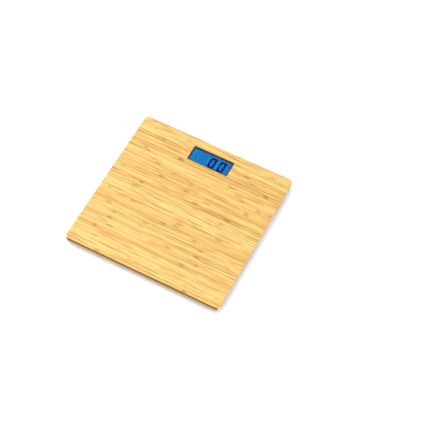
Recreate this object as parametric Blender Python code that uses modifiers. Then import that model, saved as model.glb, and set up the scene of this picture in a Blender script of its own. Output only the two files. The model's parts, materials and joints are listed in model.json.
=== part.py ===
"""Digital bathroom scale with a two-ply bamboo platform.

Metres, +Z up, +Y towards the rear edge (the display's side), +X to the right of
someone standing on it. The origin is on the floor, under the platform's middle.

A top panel and a base panel of laminated bamboo are glued into one board. The base
panel is routed for four load-cell feet, for the electronics housing and for the
sensor leads. The display looks up through a window in the top panel, and the battery
door and the unit button are on the underside.
"""

import math

import bmesh
import bpy
from mathutils import Matrix, Vector

MM = 0.001
GAP = 0.3 * MM                   # air between pieces that touch
REACH = 1.0 * MM                 # how far a cutter runs past the face it opens

# Board
SIDE = 300 * MM
CORNER_R = 8 * MM
HEIGHT = 20 * MM
BOARD_BOTTOM = 7 * MM
GLUE_Z = (HEIGHT + BOARD_BOTTOM) / 2
TOP_ROUND = 1.6 * MM
BOTTOM_ROUND = 1.2 * MM

# Feet
FOOT_INSET = 7 * MM              # from the platform's sides to the foot's flange
FOOT_SIZE = 44 * MM
FOOT_CORNER = 9 * MM
FOOT_AT = SIDE / 2 - FOOT_INSET - FOOT_SIZE / 2
FLANGE_BOTTOM = 3.4 * MM
CUP_R = 19.8 * MM
BORE_R = 18.2 * MM
CUP_ROOF = 1.3 * MM
FOOT_SCREW_AT = 16.4 * MM
CELL_SIZE = 26 * MM
CELL_THICK = 2.4 * MM
CELL_Z = 6 * MM
FOOT_NAMES = ("front_left", "front_right", "rear_left", "rear_right")

# Display
DISPLAY_Y = 116 * MM
WINDOW = (80.6 * MM, 32.6 * MM)
LENS_THICK = 1.6 * MM
LENS_TOP = HEIGHT - GAP
FRAME_TOP = LENS_TOP - LENS_THICK - GAP
FRAME_LIP = 0.9 * MM
FRAME_POCKET = (77.2 * MM, 29.2 * MM)
FRAME_OPENING = (74.6 * MM, 26.6 * MM)
GLASS_THICK = 2.2 * MM
BACKLIGHT_DEPTH = 24.4 * MM

# Circuit board
PCB_TOP = 11.8 * MM
PCB_THICK = 1.6 * MM
PCB_HALF_X = 45 * MM
PCB_TAB_X = 31.5 * MM            # inner edge of the two tabs beside the battery bay
PCB_FRONT = 66 * MM
PCB_STEP = 95 * MM
PCB_REAR = 137.4 * MM
BOARD_SCREW = (38 * MM, 89 * MM)
BUTTON_AT = (38 * MM, 74 * MM)

# Electronics housing
TRAY_BOTTOM = 3.2 * MM
TRAY_FLOOR = 1.5 * MM
TRAY_WALL = 1.2 * MM
TRAY_TOP = 11.6 * MM
TRAY_Y = (60.4 * MM, 139.6 * MM)
TRAY_HALF_X = 47.6 * MM
FLANGE_OUT = 6.4 * MM
FLANGE_THICK = 1.5 * MM
HOUSING_SCREW = (50.8 * MM, 57.2 * MM, 142.8 * MM)

# Battery bay: two AAA cells side by side
CELL_R = 5.25 * MM
AAA_LENGTH = 44.5 * MM
NUB_LENGTH = 0.8 * MM
BAY_HALF_X = 26.3 * MM
BAY_Y = (66 * MM, 90 * MM)
BAY_ROOF = 1.0 * MM
DOOR_THICK = 1.4 * MM
KNUCKLE_R = 1.1 * MM
PIN_R = 0.55 * MM
AAA_Z = TRAY_BOTTOM + DOOR_THICK + GAP + CELL_R
BAY_CEILING = AAA_Z + CELL_R + GAP
BAY_TOP = BAY_CEILING + BAY_ROOF
AAA_Y = (72.1 * MM, 83.9 * MM)
DOOR_PIVOT = Vector((0, BAY_Y[0] + GAP + KNUCKLE_R, TRAY_BOTTOM + KNUCKLE_R))
CONTACT_THICK = 0.4 * MM
CONTACT_Z = (6.2 * MM, 14.2 * MM)

# Sensor leads
LEAD_R = 1.0 * MM
LEAD_Z = 12.0 * MM
LEAD_START_Z = 9.9 * MM
CHANNEL_WIDTH = 4.4 * MM
CHANNEL_BOTTOM = 10.6 * MM
LEAD_ENDS = {
    "front_left": (-36 * MM, PCB_FRONT - GAP),
    "front_right": (36 * MM, PCB_FRONT - GAP),
    "rear_left": (-PCB_HALF_X - GAP, 84 * MM),
    "rear_right": (PCB_HALF_X + GAP, 84 * MM),
}


# ---------------------------------------------------------------- scene and materials

def clear_scene():
    for obj in list(bpy.data.objects):
        bpy.data.objects.remove(obj, do_unlink=True)


def new_collection(name):
    collection = bpy.data.collections.new(name)
    bpy.context.scene.collection.children.link(collection)
    return collection


MATERIALS = {
    "bamboo": ((0.80, 0.55, 0.27), 0.45, 0.0),
    "black_plastic": ((0.03, 0.03, 0.035), 0.50, 0.0),
    "grey_plastic": ((0.20, 0.20, 0.21), 0.55, 0.0),
    "rubber": ((0.02, 0.02, 0.02), 0.85, 0.0),
    "acrylic": ((0.02, 0.16, 0.45), 0.08, 0.0),
    "glass": ((0.35, 0.42, 0.40), 0.10, 0.0),
    "backlight": ((0.05, 0.30, 0.85), 0.35, 0.0),
    "zebra": ((0.30, 0.32, 0.34), 0.70, 0.0),
    "circuit_board": ((0.02, 0.20, 0.10), 0.40, 0.0),
    "epoxy_black": ((0.01, 0.01, 0.01), 0.30, 0.0),
    "epoxy_white": ((0.85, 0.85, 0.80), 0.55, 0.0),
    "spring_steel": ((0.62, 0.62, 0.60), 0.28, 1.0),
    "zinc_steel": ((0.70, 0.70, 0.68), 0.35, 1.0),
    "cell_jacket": ((0.12, 0.13, 0.15), 0.30, 0.0),
    "lead_sleeve": ((0.70, 0.06, 0.05), 0.55, 0.0),
    "label": ((0.80, 0.80, 0.78), 0.40, 0.0),
}


def material(name):
    """The named Principled material, made the first time it is asked for."""
    existing = bpy.data.materials.get(name)
    if existing:
        return existing
    colour, roughness, metallic = MATERIALS[name]
    made = bpy.data.materials.new(name)
    made.use_nodes = True
    shader = made.node_tree.nodes["Principled BSDF"]
    shader.inputs["Base Color"].default_value = (*colour, 1.0)
    shader.inputs["Roughness"].default_value = roughness
    shader.inputs["Metallic"].default_value = metallic
    return made


# ---------------------------------------------------------------- modelling helpers

def link(name, data, collection, finish=None):
    obj = bpy.data.objects.new(name, data)
    collection.objects.link(obj)
    if finish:
        data.materials.append(material(finish))
    return obj


def mesh_object(name, work, collection, finish=None):
    """Turn a bmesh into an object whose outward faces are consistent."""
    bmesh.ops.recalc_face_normals(work, faces=work.faces)
    mesh = bpy.data.meshes.new(name)
    work.to_mesh(mesh)
    work.free()
    mesh.shade_smooth()
    mesh.set_sharp_from_angle(angle=math.radians(35))
    return link(name, mesh, collection, finish)


def block(name, collection, size, z_range, centre=(0, 0), finish=None, corner=0, steps=4,
          top_round=0, bottom_round=0):
    """A box with rounded vertical corners and, if asked, rounded top or bottom edges."""
    low, high = z_range
    work = bmesh.new()
    bmesh.ops.create_cube(work, size=1)
    bmesh.ops.scale(work, vec=(size[0], size[1], high - low), verts=work.verts)
    bmesh.ops.translate(work, vec=(centre[0], centre[1], (low + high) / 2), verts=work.verts)
    if corner:
        upright = [e for e in work.edges if abs(e.verts[0].co.z - e.verts[1].co.z) > (high - low) / 2]
        bmesh.ops.bevel(work, geom=upright, offset=corner, segments=steps, profile=0.5,
                        affect="EDGES", clamp_overlap=False)
    for width, level in ((top_round, high), (bottom_round, low)):
        if width:
            rim = [e for e in work.edges if all(abs(v.co.z - level) < 1e-7 for v in e.verts)]
            bmesh.ops.bevel(work, geom=rim, offset=width, segments=3, profile=0.5,
                            affect="EDGES", clamp_overlap=False)
    return mesh_object(name, work, collection, finish)


def cylinder(name, collection, radius, z_range, centre=(0, 0), finish=None, segments=32):
    low, high = z_range
    work = bmesh.new()
    bmesh.ops.create_cone(work, cap_ends=True, segments=segments, radius1=radius, radius2=radius,
                          depth=high - low)
    bmesh.ops.translate(work, vec=(centre[0], centre[1], (low + high) / 2), verts=work.verts)
    return mesh_object(name, work, collection, finish)


def turned(name, collection, profile, finish, segments=28):
    """A solid of revolution about Z; the profile (radius, height) runs from top to bottom."""
    mesh = bpy.data.meshes.new(name)
    mesh.from_pydata([(r, 0, z) for r, z in profile],
                     [(i, i + 1) for i in range(len(profile) - 1)], [])
    obj = link(name, mesh, collection, finish)
    screw = obj.modifiers.new("turn", "SCREW")
    screw.axis = "Z"
    screw.steps = segments
    screw.render_steps = segments
    screw.use_merge_vertices = True
    screw.merge_threshold = 0.00001
    return obj


def outline_plate(name, collection, points, half_thickness, finish=None):
    """A flat outline in the object's own XY plane, extruded both ways along its Z."""
    curve = bpy.data.curves.new(name, "CURVE")
    curve.dimensions = "2D"
    curve.fill_mode = "BOTH"
    curve.extrude = half_thickness
    spline = curve.splines.new("POLY")
    spline.points.add(len(points) - 1)
    for point, (x, y) in zip(spline.points, points):
        point.co = (x, y, 0, 1)
    spline.use_cyclic_u = True
    return to_mesh(link(name, curve, collection), collection, finish)


def to_mesh(curve_object, collection, finish):
    """Replace a curve object by its welded mesh, so that it can be cut or joined."""
    name = curve_object.name
    bpy.context.view_layer.update()
    evaluated = curve_object.evaluated_get(bpy.context.evaluated_depsgraph_get())
    mesh = bpy.data.meshes.new_from_object(evaluated)
    place = curve_object.matrix_world.copy()
    bpy.data.objects.remove(curve_object, do_unlink=True)
    work = bmesh.new()
    work.from_mesh(mesh)
    bmesh.ops.remove_doubles(work, verts=work.verts, dist=0.000001)
    bmesh.ops.recalc_face_normals(work, faces=work.faces)
    work.to_mesh(mesh)
    work.free()
    mesh.materials.clear()
    obj = link(name, mesh, collection, finish)
    obj.matrix_world = place
    return obj


def wire(name, points, radius, finish, resolution=2):
    """A round wire or tube through the given points, with closed ends."""
    curve = bpy.data.curves.new(name, "CURVE")
    curve.dimensions = "3D"
    curve.bevel_depth = radius
    curve.bevel_resolution = resolution
    curve.use_fill_caps = True
    spline = curve.splines.new("POLY")
    spline.points.add(len(points) - 1)
    for point, place in zip(spline.points, points):
        point.co = (*place, 1)
    return link(name, curve, PARTS, finish)


def combine(obj, tool, operation="DIFFERENCE"):
    """Cut the tool out of the object, or join it on."""
    tool.hide_render = True
    tool.display_type = "WIRE"
    modifier = obj.modifiers.new(tool.name, "BOOLEAN")
    modifier.operation = operation
    modifier.object = tool


def join(obj, tool):
    combine(obj, tool, "UNION")


def arc(centre, radius, start, end, steps):
    """Points of an arc from one angle to another, in degrees, both ends included."""
    turn = [math.radians(start + (end - start) * i / steps) for i in range(steps + 1)]
    return [(centre[0] + radius * math.cos(a), centre[1] + radius * math.sin(a)) for a in turn]


# ---------------------------------------------------------------- leads and their channels

def foot_centre(foot):
    return Vector((-FOOT_AT if "left" in foot else FOOT_AT,
                   -FOOT_AT if "front" in foot else FOOT_AT, 0))


def lead_line(foot):
    """Straight run of a lead: the foot's centre, the unit direction and the length."""
    start = foot_centre(foot)
    run = Vector((*LEAD_ENDS[foot], 0)) - start
    return start, run.normalized(), run.length


def along_lead(foot):
    """Rotation that turns +X onto the lead's direction, about the foot's centre."""
    start, direction, _ = lead_line(foot)
    return Matrix.Translation(start) @ Matrix.Rotation(math.atan2(direction.y, direction.x), 4, "Z")


def lead_slot(name, foot, near, far, width, z_range):
    """A cutter that runs along a lead, from near to far of the foot's centre."""
    slot = block(name, CUTTERS, (far - near, width), z_range, ((near + far) / 2, 0))
    slot.matrix_world = along_lead(foot)
    return slot


def sensor_lead(foot):
    """The three-core lead: up off the strain gauge, along its channel, to the board."""
    _, _, length = lead_line(foot)
    rise_start = 7.5 * MM
    rise_end = 15 * MM
    rise_steps = 5
    points = [(5.5 * MM, LEAD_START_Z)]
    for i in range(rise_steps + 1):
        t = i / rise_steps
        ease = t * t * (3 - 2 * t)
        points.append((rise_start + (rise_end - rise_start) * t,
                       LEAD_START_Z + (LEAD_Z - LEAD_START_Z) * ease))
    points.append((length, LEAD_Z))
    place = along_lead(foot)
    return wire("sensor_lead_" + foot, [place @ Vector((d, 0, z)) for d, z in points], LEAD_R,
                "lead_sleeve")


# ---------------------------------------------------------------- board

def top_panel():
    """Upper ply: the display window goes through it, the battery bay rises into it."""
    panel = block("top_panel", PARTS, (SIDE, SIDE), (GLUE_Z + GAP / 2, HEIGHT), (0, 0), "bamboo",
                  CORNER_R, 8, top_round=TOP_ROUND)
    window = block("display_window", CUTTERS, WINDOW, (GLUE_Z - REACH, HEIGHT + REACH),
                   (0, DISPLAY_Y), corner=1.0 * MM, steps=3)
    combine(panel, window)
    bay_size = (2 * (BAY_HALF_X + TRAY_WALL + 2 * GAP), BAY_Y[1] - BAY_Y[0] + 2 * TRAY_WALL + 4 * GAP)
    pocket = block("bay_pocket", CUTTERS, bay_size, (GLUE_Z - REACH, BAY_TOP + GAP),
                   (0, sum(BAY_Y) / 2), corner=2 * MM, steps=3)
    combine(panel, pocket)


def base_panel():
    """Lower ply, routed for the feet, the electronics housing and the leads."""
    panel = block("base_panel", PARTS, (SIDE, SIDE), (BOARD_BOTTOM, GLUE_Z - GAP / 2), (0, 0),
                  "bamboo", CORNER_R, 8, bottom_round=BOTTOM_ROUND)
    through = (BOARD_BOTTOM - REACH, GLUE_Z + REACH)
    bay = block("housing_window", CUTTERS,
                (2 * (TRAY_HALF_X + 0.4 * MM), TRAY_Y[1] - TRAY_Y[0] + 0.8 * MM), through,
                (0, sum(TRAY_Y) / 2), corner=4.4 * MM)
    combine(panel, bay)
    for foot in FOOT_NAMES:
        centre = foot_centre(foot)
        combine(panel, cylinder("foot_recess_" + foot, CUTTERS, CUP_R + 0.4 * MM, through, centre.xy))
        _, _, length = lead_line(foot)
        combine(panel, lead_slot("channel_" + foot, foot, CUP_R - REACH, length, CHANNEL_WIDTH,
                                 (CHANNEL_BOTTOM, GLUE_Z + REACH)))
        for i, (x, y) in enumerate(foot_screw_places(foot)):
            combine(panel, pilot_hole("foot_pilot_%s_%d" % (foot, i), x, y))
    for i, (x, y) in enumerate(housing_screw_places()):
        combine(panel, pilot_hole("housing_pilot_%d" % i, x, y))


def pilot_hole(name, x, y):
    return cylinder(name, CUTTERS, 1.6 * MM, (BOARD_BOTTOM - REACH, 11.8 * MM), (x, y), segments=12)


# ---------------------------------------------------------------- fasteners

def screw(name, x, y, head_z, length, head_up=False):
    """A self-tapping pan-head screw with a cross recess; its head's flat side is at head_z."""
    head_r = 2.6 * MM
    head_h = 1.3 * MM
    shank_r = 1.3 * MM
    profile = [(0, length), (0.5 * MM, length - 0.4 * MM), (shank_r, length - 1.6 * MM), (shank_r, 0),
               (head_r, 0), (head_r, -0.5 * MM), (head_r * 0.62, -head_h), (0, -head_h)]
    obj = turned(name, PARTS, profile, "zinc_steel", 14)
    arm = (0.7 * MM, 2.6 * MM)
    depth = (-head_h - REACH, -head_h + 0.7 * MM)
    recess = block(name + "_recess", CUTTERS, arm, depth)
    combine(recess, cross_arm(name, arm, depth), "UNION")
    combine(obj, recess)
    place = Matrix.Translation((x, y, head_z))
    if head_up:
        place = place @ Matrix.Rotation(math.pi, 4, "X")
    obj.matrix_world = place
    for tool in CUTTERS.objects:
        if tool.name.startswith(name + "_recess"):
            tool.matrix_world = place
    return obj


def cross_arm(name, arm, depth):
    return block(name + "_recess_arm", CUTTERS, (arm[1], arm[0]), depth)


def foot_screw_places(foot):
    """The two corners of the flange that don't point at the platform's own corner."""
    centre = foot_centre(foot)
    side = 1 if foot in ("front_left", "rear_right") else -1
    return [(centre.x + s * FOOT_SCREW_AT, centre.y - s * side * FOOT_SCREW_AT) for s in (-1, 1)]


def housing_screw_places():
    x, front, rear = HOUSING_SCREW
    return [(-x, front), (x, front), (-x, rear), (x, rear)]


# ---------------------------------------------------------------- load-cell feet

def foot_housing(foot):
    """Square flange under the board, with a cup above it that holds the load cell."""
    centre = foot_centre(foot)
    flange_top = BOARD_BOTTOM - GAP
    cup_top = GLUE_Z - GAP / 2
    roof = cup_top - CUP_ROOF
    name = "foot_housing_" + foot
    body = block(name, PARTS, (FOOT_SIZE, FOOT_SIZE), (FLANGE_BOTTOM, flange_top), centre.xy,
                 "black_plastic", FOOT_CORNER, 5, bottom_round=0.9 * MM)
    join(body, cylinder(name + "_cup", CUTTERS, CUP_R, (FLANGE_BOTTOM + REACH, cup_top), centre.xy))
    combine(body, cylinder(name + "_bore", CUTTERS, BORE_R, (FLANGE_BOTTOM - REACH, roof), centre.xy))
    rail_width = 4 * MM
    for i, side in enumerate((-1, 1)):
        rail = block("%s_rail_%d" % (name, i), CUTTERS, (23 * MM, rail_width),
                     (CELL_Z + CELL_THICK + GAP, roof + 0.2 * MM), (0, side * 10.6 * MM))
        rail.matrix_world = along_lead(foot)
        join(body, rail)
    combine(body, lead_slot(name + "_slot", foot, BORE_R - REACH, CUP_R + REACH, 3.6 * MM,
                            (8.8 * MM, roof - 0.2 * MM)))
    combine(body, lead_slot(name + "_slot_top", foot, 8.5 * MM, CUP_R + REACH, 3.6 * MM,
                            (roof - 1.4 * MM, cup_top + REACH)))
    for i, (x, y) in enumerate(foot_screw_places(foot)):
        combine(body, cylinder("%s_hole_%d" % (name, i), CUTTERS, 1.7 * MM,
                               (FLANGE_BOTTOM - REACH, flange_top + REACH), (x, y), segments=12))
        combine(body, cylinder("%s_seat_%d" % (name, i), CUTTERS, 2.9 * MM,
                               (FLANGE_BOTTOM - REACH, FLANGE_BOTTOM + 1.7 * MM), (x, y), segments=16))
        screw("foot_screw_%s_%s" % (foot, "ab"[i]), x, y, FLANGE_BOTTOM + 1.4 * MM, 6.5 * MM)


def load_cell(foot):
    """Steel plate with a U-shaped slot that frees the tongue in its middle."""
    name = "load_cell_" + foot
    plate = block(name, PARTS, (CELL_SIZE, CELL_SIZE), (CELL_Z, CELL_Z + CELL_THICK), (0, 0),
                  "zinc_steel", 4 * MM, 3)
    slot_width = 1.8 * MM
    reach_x = 9 * MM
    half = 5.5 * MM
    outer = half + slot_width
    outline = [(reach_x, half), (-reach_x, half), (-reach_x, -half), (reach_x, -half),
               (reach_x, -outer), (-reach_x - slot_width, -outer), (-reach_x - slot_width, outer),
               (reach_x, outer)]
    slot = outline_plate(name + "_slot", CUTTERS, outline, CELL_THICK)
    place = along_lead(foot)
    plate.matrix_world = place
    slot.matrix_world = place @ Matrix.Translation((0, 0, CELL_Z + CELL_THICK / 2))
    combine(plate, slot)


def strain_gauge(foot):
    """White potting over the gauge that is glued on the load cell's tongue."""
    low = CELL_Z + CELL_THICK + GAP
    gauge = block("strain_gauge_" + foot, PARTS, (7 * MM, 6 * MM), (low, low + 0.9 * MM), (0, 0),
                  "epoxy_white", 1.5 * MM, 3, top_round=0.4 * MM)
    gauge.matrix_world = along_lead(foot)


def foot_cap(foot):
    """Round foot that slides in the housing's bore and presses on the load cell."""
    rim_r = BORE_R - 0.4 * MM
    profile = [(0, 5.7), (4.6, 5.7), (5.0, 5.3), (5.0, 4.6), (rim_r / MM - 0.4, 4.6),
               (rim_r / MM, 4.2), (rim_r / MM, 2.0), (rim_r / MM - 0.8, 1.2), (15.6, 1.2),
               (15.6, 2.2), (0, 2.2)]
    cap = turned("foot_cap_" + foot, PARTS, [(r * MM, z * MM) for r, z in profile], "grey_plastic")
    cap.location = foot_centre(foot)


def foot_pad(foot):
    """Rubber disc in the cap's recess; it is what stands on the floor."""
    profile = [(0, 1.9), (15.3, 1.9), (15.3, 0.6), (14.7, 0), (0, 0)]
    pad = turned("foot_pad_" + foot, PARTS, [(r * MM, z * MM) for r, z in profile], "rubber")
    pad.location = foot_centre(foot)


# ---------------------------------------------------------------- display

def display():
    """Lens, carrier frame, liquid-crystal glass, backlight and its elastomer contact strip."""
    at = (0, DISPLAY_Y)
    lens_size = (WINDOW[0] - 2 * GAP, WINDOW[1] - 2 * GAP)
    block("display_lens", PARTS, lens_size, (LENS_TOP - LENS_THICK, LENS_TOP), at, "acrylic",
          0.8 * MM, 3, top_round=0.2 * MM)

    frame_low = PCB_TOP + GAP
    under_panel = GLUE_Z - GAP / 2
    frame = block("display_frame", PARTS, (91 * MM, 43 * MM), (frame_low, under_panel), at,
                  "black_plastic", 3 * MM, 3)
    join(frame, block("frame_riser", CUTTERS, (WINDOW[0] - 0.8 * MM, WINDOW[1] - 0.8 * MM),
                      (frame_low + 0.5 * MM, FRAME_TOP), at, corner=0.7 * MM, steps=2))
    combine(frame, block("frame_pocket", CUTTERS, FRAME_POCKET, (frame_low - REACH, FRAME_TOP - FRAME_LIP),
                         at))
    combine(frame, block("frame_opening", CUTTERS, FRAME_OPENING, (FRAME_TOP - 2 * REACH, FRAME_TOP + REACH),
                         at))

    glass_size = (FRAME_POCKET[0] - 2 * GAP, FRAME_POCKET[1] - 2 * GAP)
    glass_top = FRAME_TOP - FRAME_LIP - GAP
    glass_bottom = glass_top - GLASS_THICK
    block("lcd_glass", PARTS, glass_size, (glass_bottom, glass_top), at, "glass")

    front = DISPLAY_Y - glass_size[1] / 2
    light_y = front + BACKLIGHT_DEPTH / 2
    block("backlight_panel", PARTS, (glass_size[0], BACKLIGHT_DEPTH),
          (PCB_TOP + GAP, glass_bottom - GAP), (0, light_y), "backlight", 1 * MM, 2)
    strip_y = front + BACKLIGHT_DEPTH + 2.2 * MM
    block("contact_strip", PARTS, (66 * MM, 2.2 * MM), (PCB_TOP + GAP, glass_bottom - GAP),
          (0, strip_y), "zebra")


# ---------------------------------------------------------------- circuit board

def circuit_board():
    """U-shaped board: its two tabs pass the battery bay on either side."""
    outline = [(PCB_HALF_X, PCB_FRONT), (PCB_HALF_X, PCB_REAR), (-PCB_HALF_X, PCB_REAR),
               (-PCB_HALF_X, PCB_FRONT), (-PCB_TAB_X, PCB_FRONT), (-PCB_TAB_X, PCB_STEP),
               (PCB_TAB_X, PCB_STEP), (PCB_TAB_X, PCB_FRONT)]
    board = outline_plate("main_board", PARTS, outline, PCB_THICK / 2, "circuit_board")
    board.location.z = PCB_TOP - PCB_THICK / 2
    for i, side in enumerate((-1, 1)):
        at = (side * BOARD_SCREW[0], BOARD_SCREW[1])
        combine(board, cylinder("board_hole_%d" % i, CUTTERS, 1.65 * MM,
                                (PCB_TOP - 2 * PCB_THICK, PCB_TOP + REACH), at, segments=12))
        screw("board_screw_" + ("left", "right")[i], at[0], at[1], PCB_TOP + GAP, 4.8 * MM, head_up=True)

    blob = [(0, 0), (6.6, 0), (6.8, -0.4), (5.4, -0.9), (2.8, -1.2), (0, -1.25)]
    chip = turned("controller_chip", PARTS, [(r * MM, z * MM) for r, z in blob], "epoxy_black", 20)
    chip.location = (-8 * MM, 116 * MM, PCB_TOP - PCB_THICK - GAP)


def unit_button():
    """Button in the housing's floor, and the switch that it presses on the circuit board."""
    body_top = PCB_TOP - PCB_THICK - GAP
    switch = block("unit_switch", PARTS, (6 * MM, 6 * MM), (6.9 * MM, body_top), BUTTON_AT,
                   "epoxy_black", 0.5 * MM, 2)
    combine(switch, cylinder("switch_bore", CUTTERS, 2.0 * MM, (6 * MM, 8.9 * MM), BUTTON_AT, segments=20))
    plunger = [(0, 2.3), (1.6, 2.3), (1.6, 0), (0, 0)]
    stem = turned("switch_plunger", PARTS, [(r * MM, z * MM) for r, z in plunger], "grey_plastic", 20)
    stem.location = (*BUTTON_AT, 5.95 * MM)
    cap = [(0, 2.65), (5.0, 2.65), (5.0, 2.0), (4.0, 2.0), (4.0, 0.4), (3.6, 0), (0, 0)]
    button = turned("unit_button", PARTS, [(r * MM, z * MM) for r, z in cap], "grey_plastic", 28)
    button.location = (*BUTTON_AT, 3.0 * MM)


# ---------------------------------------------------------------- electronics housing

def electronics_housing():
    """Tray that closes the board's underside, with the battery bay standing in it."""
    middle = (0, sum(TRAY_Y) / 2)
    outer = (2 * TRAY_HALF_X, TRAY_Y[1] - TRAY_Y[0])
    floor_top = TRAY_BOTTOM + TRAY_FLOOR
    flange_top = BOARD_BOTTOM - GAP
    tray = block("electronics_housing", PARTS, outer, (TRAY_BOTTOM, TRAY_TOP), middle, "black_plastic",
                 4 * MM, 4, bottom_round=0.8 * MM)
    join(tray, block("housing_flange", CUTTERS, (outer[0] + 2 * FLANGE_OUT, outer[1] + 2 * FLANGE_OUT),
                     (flange_top - FLANGE_THICK, flange_top), middle, corner=6 * MM))
    inner = (outer[0] - 2 * TRAY_WALL, outer[1] - 2 * TRAY_WALL)
    combine(tray, block("housing_inside", CUTTERS, inner, (floor_top, TRAY_TOP + REACH), middle,
                        corner=2.8 * MM))

    bay_middle = (0, sum(BAY_Y) / 2)
    bay_inside = (2 * BAY_HALF_X, BAY_Y[1] - BAY_Y[0])
    bay_outside = (bay_inside[0] + 2 * TRAY_WALL, bay_inside[1] + 2 * TRAY_WALL)
    join(tray, block("bay_walls", CUTTERS, bay_outside, (TRAY_BOTTOM + 0.5 * MM, BAY_TOP), bay_middle,
                     corner=1.5 * MM, steps=2))
    for side in (-1, 1):
        for y, label in ((BOARD_SCREW[1], "boss"), (133 * MM, "peg")):
            join(tray, cylinder("%s_%d" % (label, side), CUTTERS, 2.6 * MM,
                                (floor_top - 0.5 * MM, PCB_TOP - PCB_THICK - GAP),
                                (side * BOARD_SCREW[0], y), segments=16))
        combine(tray, cylinder("boss_hole_%d" % side, CUTTERS, 1.6 * MM,
                               (floor_top + REACH, PCB_TOP), (side * BOARD_SCREW[0], BOARD_SCREW[1]),
                               segments=12))
    combine(tray, block("bay_inside", CUTTERS, bay_inside, (TRAY_BOTTOM - REACH, BAY_CEILING), bay_middle))
    pin_holes = cylinder("pin_holes", CUTTERS, PIN_R + 0.25 * MM,
                         (-BAY_HALF_X - 0.9 * MM, BAY_HALF_X + 0.9 * MM), segments=12)
    pin_holes.matrix_world = Matrix.Translation(DOOR_PIVOT) @ Matrix.Rotation(math.pi / 2, 4, "Y")
    combine(tray, pin_holes)
    scallop = cylinder("finger_scallop", CUTTERS, 7 * MM, (TRAY_BOTTOM - REACH, TRAY_BOTTOM + 0.8 * MM),
                       (0, BAY_Y[1] - 2 * MM))
    combine(tray, scallop)
    combine(tray, cylinder("button_hole", CUTTERS, 4.4 * MM, (TRAY_BOTTOM - REACH, floor_top + REACH),
                           BUTTON_AT, segments=28))
    for foot in FOOT_NAMES:
        _, _, length = lead_line(foot)
        combine(tray, lead_slot("wall_notch_" + foot, foot, length - 9 * MM, length, 3.6 * MM,
                                (CHANNEL_BOTTOM, TRAY_TOP + REACH)))
    for i, (x, y) in enumerate(housing_screw_places()):
        combine(tray, cylinder("flange_hole_%d" % i, CUTTERS, 1.7 * MM,
                               (flange_top - 2 * FLANGE_THICK, flange_top + REACH), (x, y), segments=12))
        screw("housing_screw_" + FOOT_NAMES[i], x, y, flange_top - FLANGE_THICK - GAP, 6.4 * MM)


def battery_door():
    """Door with a knuckle and two end pins on its front edge and a sprung tongue at the rear."""
    plate_top = DOOR_THICK - KNUCKLE_R
    meet = math.degrees(math.asin(plate_top / KNUCKLE_R))
    free_y = BAY_Y[1] - GAP - DOOR_PIVOT.y
    lip = 1.2 * MM
    lip_top = plate_top + 1.4 * MM
    outline = arc((0, 0), KNUCKLE_R, 270, meet, 10)
    outline += [(free_y - lip, plate_top), (free_y - lip, lip_top), (free_y, lip_top), (free_y, -KNUCKLE_R)]
    half_length = BAY_HALF_X - GAP
    door = outline_plate("battery_door", PARTS, outline, half_length, "black_plastic")
    place = Matrix.Translation(DOOR_PIVOT) @ Matrix.Rotation(math.pi / 2, 4, "Z") @ Matrix.Rotation(
        math.pi / 2, 4, "X")
    door.matrix_world = place
    pins = cylinder("door_pins", CUTTERS, PIN_R, (-half_length - 0.8 * MM, half_length + 0.8 * MM),
                    segments=12)
    pins.matrix_world = Matrix.Translation(DOOR_PIVOT) @ Matrix.Rotation(math.pi / 2, 4, "Y")
    join(door, pins)
    for i, side in enumerate((-1, 1)):
        combine(door, block("tongue_slot_%d" % i, CUTTERS, (1.0 * MM, 9 * MM), (2 * MM, 7 * MM),
                            (side * 5.5 * MM, BAY_Y[1] - 4 * MM)))
    for i in range(3):
        combine(door, block("grip_groove_%d" % i, CUTTERS, (7 * MM, 0.6 * MM),
                            (2 * MM, TRAY_BOTTOM + 0.35 * MM), (0, BAY_Y[1] - (2.6 + 1.5 * i) * MM)))


def batteries():
    """Two AAA cells laid head to tail, their contact plates and the negative ends' springs."""
    end = BAY_HALF_X - GAP
    inner = end - CONTACT_THICK
    tip = inner - GAP
    body = AAA_LENGTH - NUB_LENGTH
    profile = [(0, 0), (1.9, 0), (1.9, -NUB_LENGTH / MM), (4.7, -NUB_LENGTH / MM),
               (CELL_R / MM, -NUB_LENGTH / MM - 0.5), (CELL_R / MM, -NUB_LENGTH / MM - body / MM + 0.4),
               (4.8, -AAA_LENGTH / MM), (0, -AAA_LENGTH / MM)]
    for label, y, side in (("a", AAA_Y[0], 1), ("b", AAA_Y[1], -1)):
        cell = turned("battery_cell_" + label, PARTS, [(r * MM, z * MM) for r, z in profile],
                      "cell_jacket", 24)
        turn = Matrix.Rotation(side * math.pi / 2, 4, "Y")
        cell.matrix_world = Matrix.Translation((side * tip, y, AAA_Z)) @ turn
        battery_spring(label, y, -side * tip, side * (tip - AAA_LENGTH - GAP))

    plates = {
        "contact_bridge": (-1, sum(AAA_Y) / 2, 21 * MM),
        "contact_positive": (1, AAA_Y[0], 9 * MM),
        "contact_negative": (1, AAA_Y[1], 9 * MM),
    }
    for name, (side, y, width) in plates.items():
        block(name, PARTS, (CONTACT_THICK, width), CONTACT_Z,
              (side * (end - CONTACT_THICK / 2), y), "spring_steel")


def battery_spring(label, y, plate_x, cell_x):
    """Conical spring between a contact plate and the flat end of a cell."""
    wire_r = 0.3 * MM
    turns = 2.5
    per_turn = 12
    wide = 3.4 * MM
    narrow = 2.0 * MM
    inward = math.copysign(wire_r, cell_x - plate_x)
    start = plate_x + inward
    finish = cell_x - inward
    count = int(turns * per_turn)
    points = []
    for i in range(count + 1):
        t = i / count
        angle = 2 * math.pi * turns * t
        radius = wide + (narrow - wide) * t
        points.append((start + (finish - start) * t, y + radius * math.cos(angle),
                       AAA_Z + radius * math.sin(angle)))
    wire("battery_spring_" + label, points, wire_r, "spring_steel", 1)


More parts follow.
